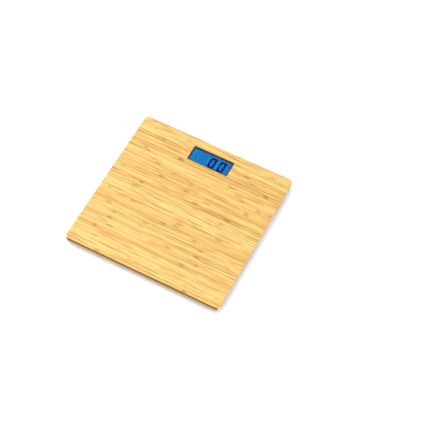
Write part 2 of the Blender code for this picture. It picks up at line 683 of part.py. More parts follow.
def rating_label():
    """Blank foil label on the board's underside."""
    block("rating_label", PARTS, (62 * MM, 34 * MM), (BOARD_BOTTOM - GAP - 0.25 * MM, BOARD_BOTTOM - GAP),
          (0, -20 * MM), "label", 2 * MM, 3)


clear_scene()
PARTS = new_collection("digital_bathroom_scale")
CUTTERS = new_collection("cutters")

top_panel()
base_panel()
display()
circuit_board()
unit_button()
electronics_housing()
battery_door()
batteries()
rating_label()
for foot_name in FOOT_NAMES:
    foot_housing(foot_name)
    load_cell(foot_name)
    strain_gauge(foot_name)
    foot_cap(foot_name)
    foot_pad(foot_name)
    sensor_lead(foot_name)
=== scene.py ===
"""Looks of the digital bathroom scale: bamboo board, lit display, feet, housing and inner parts.

Metres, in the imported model's frame: +Z up, +Y towards the display, +X to the right.
"""

import json
import math

import bmesh
import bpy
from mathutils import Matrix, Vector


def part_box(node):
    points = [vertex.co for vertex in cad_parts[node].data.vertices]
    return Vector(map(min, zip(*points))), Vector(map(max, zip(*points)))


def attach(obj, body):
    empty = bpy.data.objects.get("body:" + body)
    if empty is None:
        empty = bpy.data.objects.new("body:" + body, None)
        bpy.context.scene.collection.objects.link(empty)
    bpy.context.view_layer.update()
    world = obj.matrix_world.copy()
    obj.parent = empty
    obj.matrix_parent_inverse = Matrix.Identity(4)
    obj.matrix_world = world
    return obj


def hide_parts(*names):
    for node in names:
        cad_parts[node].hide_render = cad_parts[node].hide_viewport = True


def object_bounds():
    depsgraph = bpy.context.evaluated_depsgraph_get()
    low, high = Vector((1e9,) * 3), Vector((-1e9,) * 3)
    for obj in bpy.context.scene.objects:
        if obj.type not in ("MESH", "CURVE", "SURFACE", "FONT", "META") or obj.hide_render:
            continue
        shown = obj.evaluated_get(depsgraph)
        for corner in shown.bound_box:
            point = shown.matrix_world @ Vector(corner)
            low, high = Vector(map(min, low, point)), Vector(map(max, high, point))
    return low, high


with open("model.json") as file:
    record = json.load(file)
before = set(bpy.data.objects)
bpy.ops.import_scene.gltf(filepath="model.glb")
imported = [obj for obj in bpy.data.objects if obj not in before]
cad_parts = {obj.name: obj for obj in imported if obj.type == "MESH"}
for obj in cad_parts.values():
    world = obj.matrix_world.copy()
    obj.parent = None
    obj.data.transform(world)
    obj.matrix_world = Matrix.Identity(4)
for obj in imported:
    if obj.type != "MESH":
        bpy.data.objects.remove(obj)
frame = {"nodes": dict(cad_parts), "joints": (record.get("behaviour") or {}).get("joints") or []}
CAD_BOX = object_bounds()

MM = 0.001
PAST = 1 * MM                    # how far a cutting block runs past what it cuts
TINY = 1e-7                      # lengths below this count as nothing
SMOOTH_ANGLE = 35                # edges sharper than this, in degrees, are shaded sharp
FEET = ("front_left", "front_right", "rear_left", "rear_right")

# Board
CORNER_R = 8 * MM
TOP_ROUND = 1.6 * MM
BOTTOM_ROUND = 1.2 * MM
GLUE_EDGE = 0.15 * MM            # rounding of both plies along the glue line
STRIP_WIDTH = 6.0 * MM
NODE_SPACING = 0.17              # from one bamboo node to the next along a strip
WINDOW_GAP = 0.3 * MM            # air between the display's lens and its window
BAY_POCKET = (56.2 * MM, 27.6 * MM)     # hollow in the upper ply over the battery bay
TRAY_WINDOW = (96.0 * MM, 80.0 * MM)    # opening in the lower ply around the housing's tray

# Display
LENS_BORDER = 2.4 * MM           # black printed edge of the lens
DIGIT_HEIGHT = 24.0 * MM
DIGIT_WIDTH = 13.0 * MM
DIGIT_STROKE = 4.5 * MM
DIGIT_SLANT = 0.03
DIGIT_PITCH = 18.8 * MM
DIGIT_DROP = 1.4 * MM            # how far the digits sit below the lens's middle
DIGIT_RIGHT = 4.0 * MM           # from the lens's middle to the first lit digit
SEGMENT_GAP = 0.015              # between segments, in strokes
SEGMENT_NOTCH = 0.06             # at the inner ends of the upright segments, in strokes
POINT_HALF = 1.3 * MM            # half the side of the decimal point
UNIT_SIGN_AT = (34.0 * MM, 6.5 * MM)    # from the lens's middle
UNIT_SIGN_SIZE = 4.6 * MM
INK_GAP = 0.02 * MM              # air between an ink layer and the piece that it belongs to

# Feet and leads
CUP_R = 19.8 * MM
BORE_R = 18.2 * MM
RECESS_GAP = 0.4 * MM            # air around each cup in the lower ply
FLANGE_GAP = 0.3 * MM            # air between a foot's flange and the lower ply
CHANNEL_WIDTH = 4.4 * MM
CHANNEL_BOTTOM = 10.6 * MM
PILOT_R = 1.6 * MM
PILOT_TOP = 11.8 * MM
HEAD_HEIGHT = 1.3 * MM           # of every screw

# Camera, as angles and distances about the middle of the platform's top
CAMERA_AZIMUTH = -68
CAMERA_ELEVATION = 57
CAMERA_ROLL = 5.9
CAMERA_DISTANCE = 2.474
CAMERA_RIGHT = 0.053
CAMERA_UP = -0.0055
CAMERA_LENS = 119.4


# ---------------- shader building

def add(tree, kind, inputs=None, **settings):
    """A shader node with its inputs linked or set and its settings applied."""
    node = tree.nodes.new(kind)
    for key, value in settings.items():
        setattr(node, key, value)
    for key, value in (inputs or {}).items():
        if isinstance(value, bpy.types.NodeSocket):
            tree.links.new(value, node.inputs[key])
        else:
            node.inputs[key].default_value = value
    return node


def calc(tree, operation, *values):
    node = add(tree, "ShaderNodeMath", dict(enumerate(values)), operation=operation)
    return node.outputs[0]


def times(tree, first, second):
    return calc(tree, "MULTIPLY", first, second)


def split(tree, vector):
    return add(tree, "ShaderNodeSeparateXYZ", {0: vector}).outputs


def ease(tree, value, low, high):
    """0 below low, 1 above high, smooth between; low may be above high."""
    node = add(tree, "ShaderNodeMapRange", {0: value, 1: low, 2: high}, interpolation_type="SMOOTHSTEP")
    return node.outputs[0]


def blend(tree, factor, first, second):
    return add(tree, "ShaderNodeMix", {0: factor, 6: first, 7: second}, data_type="RGBA").outputs[2]


def noise(tree, vector, scale, detail, rough=0.5):
    node = add(tree, "ShaderNodeTexNoise", {"Vector": vector, "Scale": scale, "Detail": detail,
                                            "Roughness": rough})
    return node.outputs[0]


def place_of(tree):
    """Position on the piece, in metres, which moves with the piece."""
    return add(tree, "ShaderNodeTexCoord").outputs["Object"]


def stretch(tree, vector, factors):
    return add(tree, "ShaderNodeVectorMath", {0: vector, 1: factors}, operation="MULTIPLY").outputs[0]


def rgb(colour):
    return (*colour, 1.0)


def new_material(name, roughness, metallic=0.0, **constants):
    material = bpy.data.materials.new(name)
    material.use_nodes = True
    tree = material.node_tree
    shader = tree.nodes["Principled BSDF"]
    shader.inputs["Roughness"].default_value = roughness
    shader.inputs["Metallic"].default_value = metallic
    for key, value in constants.items():
        shader.inputs[key.replace("_", " ")].default_value = value
    return material, tree, shader


def shaded(colour, factors):
    return tuple(c * k for c, k in zip(colour, factors))


def mixed_in(tree, colour, mask, share, other):
    """The colour with another one mixed in where the mask is, up to a share of it."""
    return blend(tree, times(tree, mask, share), colour, rgb(other))


def bump(tree, shader, height, distance, strength=1.0):
    node = add(tree, "ShaderNodeBump", {"Height": height, "Distance": distance, "Strength": strength})
    tree.links.new(node.outputs[0], shader.inputs["Normal"])


# ---------------- materials

def bamboo(name, pale, deep, side, end, along="X"):
    """Laminated bamboo: strips side by side, long fibres, nodes across them and a satin lacquer.

    Faces beside the strips take the side colour, and faces across the strips' ends the end colour.
    On the upper ply the dark side colour is partly painted shade, and the pale colours of both plies'
    left and right faces are partly painted light.
    """
    material, tree, shader = new_material(name, 0.42, Coat_Weight=0.10, Coat_Roughness=0.28)
    place = place_of(tree)
    lengthways, sideways = (0, 1) if along == "X" else (1, 0)
    axes = split(tree, place)

    def grain(long_scale, cross_scale, detail, rough=0.5):
        """Noise drawn out along the strips, with both scales per metre."""
        scales = [cross_scale] * 3
        scales[lengthways] = long_scale
        return noise(tree, stretch(tree, place, scales), 1.0, detail, rough)

    off_centre, (tone, shift, seam_depth) = strip_rows(tree, axes[sideways], grain)
    fibres = grain(28, 2600, 2.0)
    streaks = grain(16, 260, 3.0, 0.55)
    seam = strip_seams(tree, off_centre, seam_depth, grain)
    marks = strip_nodes(tree, axes[lengthways], off_centre, tone, shift, streaks)
    colour = face_tones(tree, pale, deep, tone, fibres, streaks, grain)
    colour = blend(tree, seam, colour, rgb(shaded(deep, (0.46, 0.33, 0.20))))
    colour = blend(tree, marks, colour, rgb(shaded(deep, (0.50, 0.36, 0.20))))

    # Upright faces take their own colours: the grain's tones, with painted shade on the upper ply's front
    # and back and painted light on the left and right.
    facing = split(tree, add(tree, "ShaderNodeTexCoord").outputs["Normal"])
    edge = ease(tree, calc(tree, "ABSOLUTE", facing[2]), 0.62, 0.20)
    endwise = ease(tree, calc(tree, "ABSOLUTE", facing[lengthways]), 0.55, 0.80)
    colour = blend(tree, edge, colour, edge_grain_and_painted_light(tree, place, side, end, off_centre, streaks, endwise))
    tree.links.new(colour, shader.inputs["Base Color"])
    tree.links.new(calc(tree, "MULTIPLY_ADD", fibres, 0.22, 0.32), shader.inputs["Roughness"])
    tree.links.new(calc(tree, "MULTIPLY_ADD", edge, -0.32, 0.40), shader.inputs["Specular IOR Level"])

    relief = calc(tree, "SUBTRACT", times(tree, fibres, 0.5), times(tree, seam, 0.8))
    bump(tree, shader, relief, 0.03 * MM, 0.4)
    return material


def strip_rows(tree, across, grain):
    """Distance from the middle of each strip, in strip widths, and three random values of the strip."""
    wander = times(tree, calc(tree, "SUBTRACT", grain(0, 42, 1.0), 0.5), 2.4)
    row = calc(tree, "ADD", calc(tree, "DIVIDE", across, STRIP_WIDTH), wander)
    off_centre = calc(tree, "ABSOLUTE", calc(tree, "SUBTRACT", calc(tree, "FRACT", row), 0.5))
    index = calc(tree, "FLOOR", row)
    toss = add(tree, "ShaderNodeTexWhiteNoise", {"W": index}, noise_dimensions="1D")
    return off_centre, add(tree, "ShaderNodeSeparateColor", {0: toss.outputs["Color"]}).outputs


def strip_seams(tree, off_centre, depth, grain):
    """Dark joints between strips, each of its own strength and broken along its length."""
    broken = ease(tree, grain(22, 180, 2.0), 0.40, 0.58)
    strength = calc(tree, "MULTIPLY_ADD", calc(tree, "POWER", depth, 1.6), 0.85, 0.15)
    return times(tree, ease(tree, off_centre, 0.31, 0.46), times(tree, strength, broken))


def strip_nodes(tree, run, off_centre, tone, shift, streaks):
    """Ragged marks across the strips, at another place on each one and darker on deep ones."""
    count = calc(tree, "ADD", calc(tree, "DIVIDE", run, NODE_SPACING), times(tree, shift, 7.0))
    away = calc(tree, "ABSOLUTE", calc(tree, "SUBTRACT", calc(tree, "FRACT", count), 0.5))
    away = times(tree, away, NODE_SPACING)
    ragged = calc(tree, "ADD", away, times(tree, calc(tree, "SUBTRACT", streaks, 0.5), 0.024))
    mark = times(tree, ease(tree, ragged, 8.0 * MM, 1.0 * MM), ease(tree, off_centre, 0.48, 0.20))
    return times(tree, mark, calc(tree, "MULTIPLY_ADD", tone, 0.60, 0.18))


def face_tones(tree, pale, deep, tone, fibres, streaks, grain):
    """Each strip's own tone, with warm patches, dark streaks and fine lines over it."""
    amount = calc(tree, "ADD", times(tree, calc(tree, "POWER", tone, 1.6), 0.85), times(tree, fibres, 0.14))
    colour = blend(tree, amount, rgb(pale), rgb(deep))
    patches, lines = grain(20, 75, 2.0), grain(9, 340, 2.0)
    for layer, low, high, share, factors in ((patches, 0.54, 0.72, 0.50, (1.04, 0.74, 0.62)),
                                             (streaks, 0.52, 0.70, 0.55, (0.80, 0.66, 0.50)),
                                             (lines, 0.56, 0.68, 0.70, (0.66, 0.50, 0.34))):
        colour = mixed_in(tree, colour, ease(tree, layer, low, high), share, shaded(deep, factors))
    return colour


def edge_grain_and_painted_light(tree, place, side, end, off_centre, streaks, endwise):
    """Streaks along the faces beside the strips, and fibre bundles in the strips' ends;
    the given colours are partly painted shade and painted light as well as the grain's own tone.
    """
    beside = blend(tree, ease(tree, streaks, 0.38, 0.70), rgb(side),
                   rgb(shaded(side, (0.62, 0.55, 0.45))))
    bundles = ease(tree, noise(tree, place, 1500, 2.0), 0.42, 0.66)
    ends = mixed_in(tree, rgb(end), bundles, 0.45, shaded(end, (0.60, 0.50, 0.38)))
    ends = mixed_in(tree, ends, ease(tree, off_centre, 0.40, 0.48), 0.5, shaded(end, (0.50, 0.40, 0.28)))
    return blend(tree, endwise, beside, ends)


def moulded(name, colour, roughness, grain=2600, depth=0.03, variation=0.25):
    """Plastic or rubber from a spark-eroded mould, with faint handling marks."""
    material, tree, shader = new_material(name, roughness)
    place = place_of(tree)
    fine = noise(tree, place, grain, 2.0)
    marks = noise(tree, place, 70, 4.0, 0.65)
    lighter = tuple(min(1.0, c * (1 + variation) + 0.01) for c in colour)
    tree.links.new(blend(tree, ease(tree, marks, 0.35, 0.75), rgb(colour), rgb(lighter)),
                   shader.inputs["Base Color"])
    tree.links.new(calc(tree, "MULTIPLY_ADD", marks, 0.22, roughness - 0.11), shader.inputs["Roughness"])
    bump(tree, shader, fine, depth * MM, 0.5)
    return material


def metal(name, colour, roughness, way=(1, 1, 1), scale=900):
    """Plated or brushed metal: fine lines along one way, with tarnish in soft patches."""
    material, tree, shader = new_material(name, roughness, 1.0)
    place = place_of(tree)
    lines = noise(tree, stretch(tree, place, way), scale, 3.0, 0.6)
    tarnish = noise(tree, place, 160, 3.0)
    dull = tuple(c * 0.72 for c in colour)
    tree.links.new(blend(tree, ease(tree, tarnish, 0.45, 0.80), rgb(colour), rgb(dull)),
                   shader.inputs["Base Color"])
    tree.links.new(calc(tree, "MULTIPLY_ADD", lines, 0.20, roughness - 0.10), shader.inputs["Roughness"])
    bump(tree, shader, lines, 0.01 * MM, 0.35)
    return material


def lens_material():
    """Clear acrylic with the faint smears of a wiped surface."""
    material, tree, shader = new_material("lens_acrylic", 0.03, IOR=1.49, Alpha=0.08)
    smears = noise(tree, stretch(tree, place_of(tree), (1, 3, 1)), 60, 4.0, 0.6)
    tree.links.new(blend(tree, smears, rgb((0.006, 0.010, 0.016)), rgb((0.012, 0.018, 0.026))),
                   shader.inputs["Base Color"])
    tree.links.new(calc(tree, "MULTIPLY_ADD", ease(tree, smears, 0.55, 0.8), 0.08, 0.03),
                   shader.inputs["Roughness"])
    return material


def lit_glass(name, colour, power):
    """Glass lit a little unevenly from behind; ink on it is the same in a dark colour."""
    material, tree, shader = new_material(name, 0.25, Emission_Strength=power, Specular_IOR_Level=0.05)
    clouds = noise(tree, place_of(tree), 45, 2.0)
    dim = shaded(colour, (0.85, 0.85, 0.85))
    glow = blend(tree, ease(tree, clouds, 0.30, 0.70), rgb(dim), rgb(colour))
    tree.links.new(glow, shader.inputs["Emission Color"])
    tree.links.new(blend(tree, 0.88, glow, rgb((0, 0, 0))), shader.inputs["Base Color"])
    return material


def board_material():
    """Green solder mask over copper tracks, with tinned dots where leads come through."""
    material, tree, shader = new_material("solder_mask", 0.35, Coat_Weight=0.4, Coat_Roughness=0.15)
    place = place_of(tree)
    nearest, second = (add(tree, "ShaderNodeTexVoronoi", {"Vector": place, "Scale": 190.0},
                           distance="CHEBYCHEV", feature=feature).outputs["Distance"]
                       for feature in ("F1", "F2"))
    tracks = ease(tree, calc(tree, "SUBTRACT", second, nearest), 0.10, 0.05)
    dots = ease(tree, nearest, 0.11, 0.07)
    colour = blend(tree, tracks, rgb((0.008, 0.12, 0.045)), rgb((0.03, 0.26, 0.10)))
    colour = blend(tree, dots, colour, rgb((0.62, 0.60, 0.55)))
    tree.links.new(colour, shader.inputs["Base Color"])
    bump(tree, shader, calc(tree, "MAXIMUM", tracks, dots), 0.04 * MM)
    return material


def label_material():
    """Satin foil with a printed frame and a plain grey field."""
    material, tree, shader = new_material("label_foil", 0.34, 0.55)
    place = place_of(tree)
    low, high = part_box("rating_label")
    middle, half = (low + high) / 2, (high - low) / 2
    axes = split(tree, place)
    away = [calc(tree, "ABSOLUTE", calc(tree, "SUBTRACT", axes[i], middle[i])) for i in (0, 1)]
    reach_x, reach_y = (calc(tree, "DIVIDE", away[i], half[i]) for i in (0, 1))
    reach_x = calc(tree, "MULTIPLY_ADD", calc(tree, "SUBTRACT", reach_x, 1.0), half[0] / half[1], 1.0)
    reach = calc(tree, "MAXIMUM", reach_x, reach_y)
    frame_line = times(tree, ease(tree, reach, 0.86, 0.87), ease(tree, reach, 0.91, 0.90))
    grain = noise(tree, stretch(tree, place, (1, 30, 1)), 260, 3.0)
    colour = blend(tree, grain, rgb((0.48, 0.48, 0.47)), rgb((0.58, 0.58, 0.57)))
    colour = blend(tree, frame_line, colour, rgb((0.10, 0.10, 0.11)))
    tree.links.new(colour, shader.inputs["Base Color"])
    bump(tree, shader, grain, 0.01 * MM, 0.4)
    return material


def floor_material():
    """Plain pale floor with the least tonal drift."""
    material, tree, shader = new_material("pale_floor", 0.75)
    drift = noise(tree, place_of(tree), 2.0, 2.0)
    tree.links.new(blend(tree, drift, rgb((0.92, 0.93, 0.95)), rgb((0.94, 0.95, 0.97))),
                   shader.inputs["Base Color"])
    return material


# Upper ply: the dark side colour, on its front and back, is partly painted shade; the pale end colour, on
# its left and right, is partly painted light.
BAMBOO_FACE = bamboo("bamboo_face", (0.683, 0.478, 0.141), (0.580, 0.314, 0.062), (0.155, 0.068, 0.003),
                     (0.77, 0.52, 0.33))
# Lower ply: the pale side colour, on its left and right, is partly painted light.
BAMBOO_CORE = bamboo("bamboo_core", (0.50, 0.34, 0.18), (0.39, 0.24, 0.107), (0.73, 0.49, 0.31),
                     (0.45, 0.30, 0.13), "Y")
BLACK_ABS = moulded("black_abs", (0.022, 0.022, 0.024), 0.52)
GREY_ABS = moulded("grey_abs", (0.16, 0.16, 0.17), 0.50)
FOOT_ABS = moulded("foot_abs", (0.045, 0.045, 0.048), 0.48)
RUBBER = moulded("pad_rubber", (0.020, 0.020, 0.020), 0.82, 1500, 0.05, 0.5)
ELASTOMER = moulded("contact_elastomer", (0.45, 0.22, 0.26), 0.65, 1800)
EPOXY_BLACK = moulded("black_epoxy", (0.012, 0.012, 0.012), 0.22, 500, 0.04)
EPOXY_WHITE = moulded("white_epoxy", (0.78, 0.78, 0.74), 0.38, 500, 0.05, 0.05)
SLEEVES = [moulded("sleeve_" + name, colour, 0.45, 1500, 0.01)
           for name, colour in (("red", (0.55, 0.03, 0.02)), ("white", (0.75, 0.75, 0.72)),
                                ("black", (0.02, 0.02, 0.02)))]
JACKET = metal("cell_jacket", (0.07, 0.08, 0.10), 0.28, (1, 12, 12), 200)
JACKET_BAND = metal("cell_jacket_band", (0.74, 0.36, 0.12), 0.26, (1, 12, 12), 200)
CELL_STEEL = metal("cell_cap_steel", (0.72, 0.72, 0.70), 0.24)
SPRING_STEEL = metal("spring_steel", (0.70, 0.69, 0.66), 0.22)
ZINC = metal("zinc_steel", (0.66, 0.67, 0.68), 0.32)
STAMPED = metal("stamped_steel", (0.60, 0.60, 0.60), 0.34, (1, 25, 1), 120)
LENS = lens_material()
BORDER_INK = moulded("border_ink", (0.006, 0.008, 0.014), 0.30, 1200, 0.005)
LIT_GLASS = lit_glass("lit_glass", (0.000, 0.225, 0.64), 1.05)
LIGHT_GUIDE = lit_glass("light_guide", (0.02, 0.30, 0.90), 1.2)
SEGMENT_INK = lit_glass("segment_ink", (0.000, 0.008, 0.12), 1.0)
GHOST_INK = lit_glass("ghost_segments", (0.000, 0.200, 0.585), 1.05)
SOLDER_MASK = board_material()
LABEL_FOIL = label_material()


# ---------------- mesh building

def to_object(name, work, materials=()):
    """A finished mesh as an object, shaded smooth up to its sharp edges."""
    bmesh.ops.recalc_face_normals(work, faces=work.faces)
    mesh = bpy.data.meshes.new(name)
    work.to_mesh(mesh)
    work.free()
    for material in materials:
        mesh.materials.append(material)
    mesh.shade_smooth()
    mesh.set_sharp_from_angle(angle=math.radians(SMOOTH_ANGLE))
    return in_scene(name, mesh)


def in_scene(name, data):
    obj = bpy.data.objects.new(name, data)
    bpy.context.scene.collection.objects.link(obj)
    return obj


def evaluated_mesh(obj):
    """The object's shape with its modifiers applied, or a text's shape, as a new mesh."""
    bpy.context.view_layer.update()
    return bpy.data.meshes.new_from_object(obj.evaluated_get(bpy.context.evaluated_depsgraph_get()))


def slab(name, low, high, corner=0.0, steps=6, top=0.0, bottom=0.0, rim_steps=6, materials=()):
    """A block between two corners with rounded upright edges and rounded top and bottom rims."""
    work = bmesh.new()
    bmesh.ops.create_cube(work, size=1)
    size = [h - l for l, h in zip(low, high)]
    bmesh.ops.scale(work, vec=size, verts=work.verts)
    bmesh.ops.translate(work, vec=[(l + h) / 2 for l, h in zip(low, high)], verts=work.verts)
    if corner:
        upright = [e for e in work.edges if abs(e.verts[0].co.z - e.verts[1].co.z) > size[2] / 2]
        bmesh.ops.bevel(work, geom=upright, offset=corner, segments=steps, profile=0.5,
                        affect="EDGES", clamp_overlap=False)
    for width, level in ((top, high[2]), (bottom, low[2])):
        if width:
            rim = [e for e in work.edges if all(abs(v.co.z - level) < TINY for v in e.verts)]
            bmesh.ops.bevel(work, geom=rim, offset=width, segments=rim_steps, profile=0.5,
                            affect="EDGES", clamp_overlap=False)
    return to_object(name, work, materials)


def rod(name, radius, low, high, at, segments):
    work = bmesh.new()
    bmesh.ops.create_cone(work, cap_ends=True, segments=segments, radius1=radius, radius2=radius,
                          depth=high - low)
    bmesh.ops.translate(work, vec=(at[0], at[1], (low + high) / 2), verts=work.verts)
    return to_object(name, work)


def in_mm(points):
    """Points given in millimetres, as metres."""
    return [(x * MM, y * MM) for x, y in points]


def filleted(points, radius, steps=4):
    """A profile with every corner but its two ends rounded."""
    result = [points[0]]
    for before, corner, after in zip(points, points[1:], points[2:]):
        corner = Vector(corner)
        back, ahead = Vector(before) - corner, Vector(after) - corner
        reach = min(radius, back.length * 0.45, ahead.length * 0.45)
        start, finish = corner + back.normalized() * reach, corner + ahead.normalized() * reach
        for i in range(steps + 1):
            t = i / steps
            result.append(tuple(start * (1 - t) ** 2 + corner * 2 * t * (1 - t) + finish * t * t))
    return result + [points[-1]]


def lathe(name, profile, segments, materials, band=None):
    """A closed solid turned about Z; band(z) gives the material index of a ring of faces."""
    work = bmesh.new()
    rings = []
    for radius, height in profile:
        if radius < TINY:
            rings.append([work.verts.new((0, 0, height))])
        else:
            rings.append([work.verts.new((radius * math.cos(2 * math.pi * i / segments),
                                          radius * math.sin(2 * math.pi * i / segments), height))
                          for i in range(segments)])
    for (above, below), (first, second) in zip(zip(rings, rings[1:]), zip(profile, profile[1:])):
        index = band((first[1] + second[1]) / 2) if band else 0
        for i in range(segments):
            j = (i + 1) % segments
            corners = [above[i % len(above)], above[j % len(above)], below[j % len(below)],
                       below[i % len(below)]]
            face = work.faces.new(list(dict.fromkeys(corners)))
            face.material_index = index
    return to_object(name, work, materials)


def extruded(name, outline, low, high, materials=()):
    """An outline in XY as a plate between two heights."""
    work = bmesh.new()
    base = [work.verts.new((x, y, low)) for x, y in outline]
    work.faces.new(base)
    lifted = bmesh.ops.extrude_face_region(work, geom=work.faces[:])
    bmesh.ops.translate(work, vec=(0, 0, high - low),
                        verts=[v for v in lifted["geom"] if isinstance(v, bmesh.types.BMVert)])
    return to_object(name, work, materials)


def carve(obj, tools, operation="DIFFERENCE"):
    """Cut the tools out of the object, or join them on, and keep only the result."""
    for tool in tools:
        modifier = obj.modifiers.new(tool.name, "BOOLEAN")
        modifier.operation = operation
        modifier.solver = "EXACT"
        modifier.object = tool
    made = evaluated_mesh(obj)
    made.name = obj.name
    obj.modifiers.clear()
    obj.data = made
    for tool in tools:
        bpy.data.objects.remove(tool, do_unlink=True)


def soften(obj, width, angle=50, segments=2):
    """A fine radius on every edge sharper than the angle, with flat faces left flat."""
    obj.data.shade_smooth()
    bevel = obj.modifiers.new("edges", "BEVEL")
    bevel.width = width
    bevel.segments = segments
    bevel.limit_method = "ANGLE"
    bevel.angle_limit = math.radians(angle)
    bevel.use_clamp_overlap = True
    weighted = obj.modifiers.new("normals", "WEIGHTED_NORMAL")
    weighted.keep_sharp = False
    weighted.weight = 100


def tube(work, points, radius, sides, index=0):
    """A closed round tube along the points, added to a mesh in the making."""
    normal = None
    rings = []
    for i, point in enumerate(points):
        tangent = (points[min(i + 1, len(points) - 1)] - points[max(i - 1, 0)]).normalized()
        if normal is None:
            normal = tangent.orthogonal().normalized()
        normal = (normal - tangent * normal.dot(tangent)).normalized()
        side = tangent.cross(normal)
        rings.append([work.verts.new(point + (normal * math.cos(a) + side * math.sin(a)) * radius)
                      for a in (2 * math.pi * k / sides for k in range(sides))])
    for first, second in zip(rings, rings[1:]):
        for k in range(sides):
            face = work.faces.new((first[k], first[(k + 1) % sides], second[(k + 1) % sides], second[k]))
            face.material_index = index
    for cap in (rings[0], rings[-1]):
        work.faces.new(cap).material_index = index


def keep(obj, body, slot, *nodes):
    """Give a finished piece its body and hide the CAD nodes that it stands for; the slot is not used."""
    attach(obj, body)
    if nodes:
        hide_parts(*nodes)


def paint(node, material, edge=0.0):
    """Finish a CAD node as it stands, with a fine edge radius where one is given."""
    obj = frame["nodes"][node]
    for place in obj.material_slots:
        place.material = material
    if edge:
        soften(obj, edge)


def middle_of(node):
    low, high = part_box(node)
    return (low + high) / 2


# ---------------- board

def grown(node, by, below, above):
    """Corners of a node's box, grown sideways and run past its bottom and top."""
    low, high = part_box(node)
    return low - Vector((by, by, below)), high + Vector((by, by, above))


def top_panel():
    """Upper ply, with the display's window and a pocket over the battery bay."""
    low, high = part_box("top_panel")
    panel = slab("board_top", low, high, CORNER_R, steps=20, top=TOP_ROUND, bottom=GLUE_EDGE,
                 rim_steps=8, materials=[BAMBOO_FACE])
    window = slab("window", *grown("display_lens", WINDOW_GAP, below=8 * MM, above=2 * MM), corner=1.0 * MM)
    middle = (middle_of("battery_cell_a").y + middle_of("battery_cell_b").y) / 2
    half_x, half_y = BAY_POCKET[0] / 2, BAY_POCKET[1] / 2
    pocket_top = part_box("electronics_housing")[1].z + WINDOW_GAP
    pocket = slab("pocket", (-half_x, middle - half_y, low.z - PAST),
                  (half_x, middle + half_y, pocket_top), corner=2 * MM)
    carve(panel, [window, pocket])
    soften(panel, 0.35 * MM, angle=70, segments=3)
    keep(panel, "platform", "bamboo_face", "top_panel")


def base_panel():
    """Lower ply, open for the housing's tray, the feet, their leads and every screw's point."""
    low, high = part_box("base_panel")
    panel = slab("board_base", low, high, CORNER_R, steps=20, top=GLUE_EDGE, bottom=BOTTOM_ROUND,
                 materials=[BAMBOO_CORE])
    tray = middle_of("electronics_housing")
    half_x, half_y = TRAY_WINDOW[0] / 2, TRAY_WINDOW[1] / 2
    below, above = low.z - PAST, high.z + PAST
    tools = [slab("housing_window", (tray.x - half_x, tray.y - half_y, below),
                  (tray.x + half_x, tray.y + half_y, above), corner=4.4 * MM, steps=8)]
    for foot in FEET:
        start, _, length = lead_run(foot)
        tools.append(rod("recess", CUP_R + RECESS_GAP, below, above, start.xy, 96))
        tools.append(along_lead(foot, "channel", CUP_R - PAST, length, CHANNEL_WIDTH,
                                CHANNEL_BOTTOM, above))
    for node in sorted(frame["nodes"]):
        if node.startswith(("foot_screw_", "housing_screw_")):
            tools.append(rod("pilot", PILOT_R, below, PILOT_TOP, middle_of(node).xy, 32))
    carve(panel, tools)
    soften(panel, 0.3 * MM, angle=70)
    keep(panel, "platform", "bamboo_core", "base_panel")


def lead_run(foot):
    """A lead's straight run in plan: the foot's middle, the direction towards the board, the length."""
    start = middle_of("foot_cap_" + foot) * Vector((1, 1, 0))
    low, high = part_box("sensor_lead_" + foot)
    far = Vector((low.x if start.x > 0 else high.x, high.y if start.y < 0 else low.y, 0))
    return start, (far - start).normalized(), (far - start).length


def along_lead(foot, name, near, far, width, low, high, aside=0.0):
    """A block that runs along a lead, between two distances from the foot's middle."""
    start, run, _ = lead_run(foot)
    block = slab(name, (near, aside - width / 2, low), (far, aside + width / 2, high))
    block.matrix_world = Matrix.Translation(start) @ Matrix.Rotation(math.atan2(run.y, run.x), 4, "Z")
    return block


# ---------------- display

def seven_segments(at, lit):
    """Outlines of a digit's mitred segments; lit names the ones wanted, from a to g."""
    w, h, s = DIGIT_WIDTH / 2, DIGIT_HEIGHT / 2, DIGIT_STROKE
    gap, notch = SEGMENT_GAP * s, SEGMENT_NOTCH * s
    level = {"a": 1, "d": -1}
    upright = {"b": (1, 1), "c": (1, -1), "e": (-1, -1), "f": (-1, 1)}
    outlines = []
    for name in lit:
        if name in level:
            side = level[name]
            shape = [(-w + gap, side * h), (w - gap, side * h), (w - s - gap, side * (h - s)),
                     (-w + s + gap, side * (h - s))]
        elif name in upright:
            side, part = upright[name]
            shape = [(side * w, part * (h - gap)), (side * (w - s), part * (h - s - gap)),
                     (side * (w - s), part * (notch + gap)), (side * w, part * gap)]
        else:
            reach, point = w - s - gap, w - 0.6 * s - gap
            shape = [(-point, 0), (-reach, s / 2), (reach, s / 2), (point, 0), (reach, -s / 2),
                     (-reach, -s / 2)]
        outlines.append([(at[0] + x + DIGIT_SLANT * y, at[1] + y) for x, y in shape])
    return outlines


def plates(name, outlines, low, high, materials):
    """Several thin outlines as one mesh."""
    work = bmesh.new()
    for outline in outlines:
        rings = [[work.verts.new((x, y, z)) for x, y in outline] for z in (low, high)]
        for ring in rings:
            work.faces.new(ring)
        for k in range(len(outline)):
            j = (k + 1) % len(outline)
            work.faces.new((rings[0][k], rings[0][j], rings[1][j], rings[1][k]))
    return to_object(name, work, materials)


